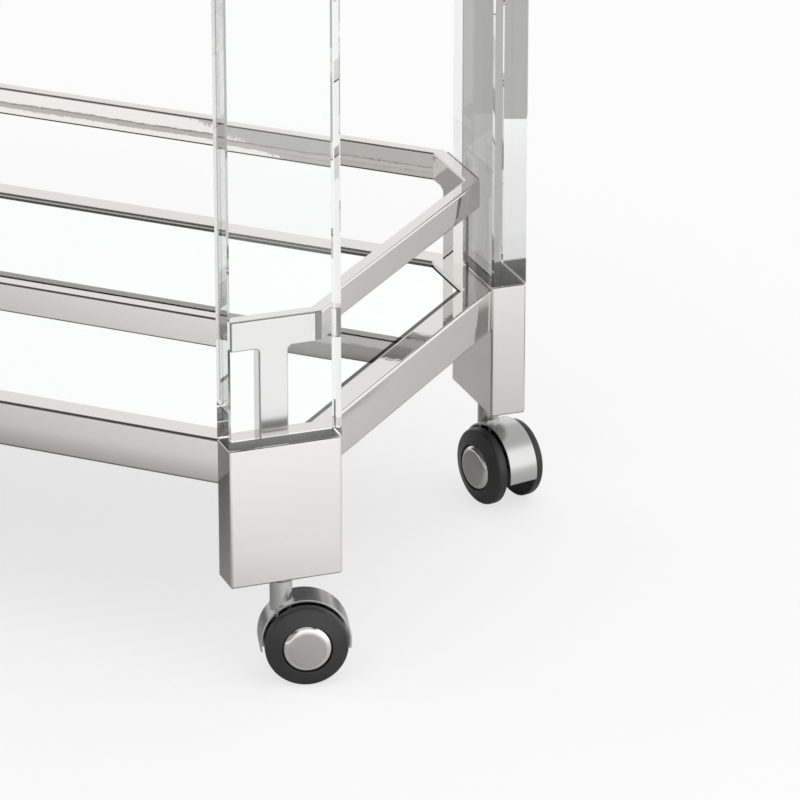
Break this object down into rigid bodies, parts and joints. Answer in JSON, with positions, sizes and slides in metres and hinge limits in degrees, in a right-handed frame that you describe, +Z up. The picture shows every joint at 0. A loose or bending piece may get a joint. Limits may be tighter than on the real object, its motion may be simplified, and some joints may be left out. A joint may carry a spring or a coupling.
{
  "type": "bar cart",
  "caption": "Two-tier bar cart with octagonal mirrored trays, polished gallery rails, clear acrylic posts in metal boots and hooded twin-wheel swivel casters.",
  "frame": {"origin": "on the floor below the middle of the cart", "axes": "+X along the cart's length, +Y across it towards the back, +Z up"},
  "size_m": [0.9322, 0.4062, 0.838],
  "materials": {
    "polished_metal": "polished nickel plate, neutral to slightly warm",
    "clear_acrylic": "clear polished acrylic",
    "mirror_glass": "silvered mirror glass",
    "wheel_black": "black, semi-gloss",
    "satin_cap": "satin metal with a bright rim",
    "fastener_steel": "plated steel"
  },
  "bodies": {
    "cart": {"lower_front_rail": "polished_metal", "lower_back_rail": "polished_metal", "lower_end_rails": "polished_metal", "lower_corner_rails": "polished_metal", "lower_shelf_ledges": "polished_metal", "lower_gallery_front": "polished_metal", "lower_gallery_back": "polished_metal", "lower_gallery_ends": "polished_metal", "lower_t_brackets": "polished_metal", "lower_mirror_shelf": "mirror_glass", "lower_frame_bolts": "fastener_steel", "upper_front_rail": "polished_metal", "upper_back_rail": "polished_metal", "upper_end_rails": "polished_metal", "upper_corner_rails": "polished_metal", "upper_shelf_ledges": "polished_metal", "upper_gallery_front": "polished_metal", "upper_gallery_back": "polished_metal", "upper_gallery_ends": "polished_metal", "upper_t_brackets": "polished_metal", "upper_mirror_shelf": "mirror_glass", "upper_frame_bolts": "fastener_steel", "front_right_post": "clear_acrylic", "front_right_boot": "polished_metal", "front_right_caster_stem": "polished_metal", "back_right_post": "clear_acrylic", "back_right_boot": "polished_metal", "back_right_caster_stem": "polished_metal", "back_left_post": "clear_acrylic", "back_left_boot": "polished_metal", "back_left_caster_stem": "polished_metal", "front_left_post": "clear_acrylic", "front_left_boot": "polished_metal", "front_left_caster_stem": "polished_metal", "post_caps": "polished_metal"},
    "front_right_caster": {"front_right_caster_hood": "polished_metal", "front_right_axle": "fastener_steel"},
    "front_right_wheel_a_body": {"front_right_wheel_a": "wheel_black", "front_right_hub_cap_a": "satin_cap"},
    "front_right_wheel_b_body": {"front_right_wheel_b": "wheel_black", "front_right_hub_cap_b": "satin_cap"},
    "back_right_caster": {"back_right_caster_hood": "polished_metal", "back_right_axle": "fastener_steel"},
    "back_right_wheel_a_body": {"back_right_wheel_a": "wheel_black", "back_right_hub_cap_a": "satin_cap"},
    "back_right_wheel_b_body": {"back_right_wheel_b": "wheel_black", "back_right_hub_cap_b": "satin_cap"},
    "back_left_caster": {"back_left_caster_hood": "polished_metal", "back_left_axle": "fastener_steel"},
    "back_left_wheel_a_body": {"back_left_wheel_a": "wheel_black", "back_left_hub_cap_a": "satin_cap"},
    "back_left_wheel_b_body": {"back_left_wheel_b": "wheel_black", "back_left_hub_cap_b": "satin_cap"},
    "front_left_caster": {"front_left_caster_hood": "polished_metal", "front_left_axle": "fastener_steel"},
    "front_left_wheel_a_body": {"front_left_wheel_a": "wheel_black", "front_left_hub_cap_a": "satin_cap"},
    "front_left_wheel_b_body": {"front_left_wheel_b": "wheel_black", "front_left_hub_cap_b": "satin_cap"}
  },
  "joints": [
    {"name": "front_right_swivel", "type": "hinge", "parent": "cart", "child": "front_right_caster", "pos_m": [0.42098, -0.16798, 0.06], "axis": [0, 0, 1], "continuous": true},
    {"name": "front_right_wheel_a_spin", "type": "hinge", "parent": "front_right_caster", "child": "front_right_wheel_a_body", "pos_m": [0.43394, -0.16023, 0.0274], "axis": [0.5135, -0.8581, 0], "continuous": true},
    {"name": "front_right_wheel_b_spin", "type": "hinge", "parent": "front_right_caster", "child": "front_right_wheel_b_body", "pos_m": [0.43394, -0.16023, 0.0274], "axis": [0.5135, -0.8581, 0], "continuous": true},
    {"name": "back_right_swivel", "type": "hinge", "parent": "cart", "child": "back_right_caster", "pos_m": [0.42098, 0.16798, 0.06], "axis": [0, 0, 1], "continuous": true},
    {"name": "back_right_wheel_a_spin", "type": "hinge", "parent": "back_right_caster", "child": "back_right_wheel_a_body", "pos_m": [0.43376, 0.15993, 0.0274], "axis": [-0.5329, -0.8462, 0], "continuous": true},
    {"name": "back_right_wheel_b_spin", "type": "hinge", "parent": "back_right_caster", "child": "back_right_wheel_b_body", "pos_m": [0.43376, 0.15993, 0.0274], "axis": [-0.5329, -0.8462, 0], "continuous": true},
    {"name": "back_left_swivel", "type": "hinge", "parent": "cart", "child": "back_left_caster", "pos_m": [-0.42098, 0.16798, 0.06], "axis": [0, 0, 1], "continuous": true},
    {"name": "back_left_wheel_a_spin", "type": "hinge", "parent": "back_left_caster", "child": "back_left_wheel_a_body", "pos_m": [-0.43394, 0.16023, 0.0274], "axis": [-0.5135, 0.8581, 0], "continuous": true},
    {"name": "back_left_wheel_b_spin", "type": "hinge", "parent": "back_left_caster", "child": "back_left_wheel_b_body", "pos_m": [-0.43394, 0.16023, 0.0274], "axis": [-0.5135, 0.8581, 0], "continuous": true},
    {"name": "front_left_swivel", "type": "hinge", "parent": "cart", "child": "front_left_caster", "pos_m": [-0.42098, -0.16798, 0.06], "axis": [0, 0, 1], "continuous": true},
    {"name": "front_left_wheel_a_spin", "type": "hinge", "parent": "front_left_caster", "child": "front_left_wheel_a_body", "pos_m": [-0.43376, -0.15993, 0.0274], "axis": [0.5329, 0.8462, 0], "continuous": true},
    {"name": "front_left_wheel_b_spin", "type": "hinge", "parent": "front_left_caster", "child": "front_left_wheel_b_body", "pos_m": [-0.43376, -0.15993, 0.0274], "axis": [0.5329, 0.8462, 0], "continuous": true}
  ]
}
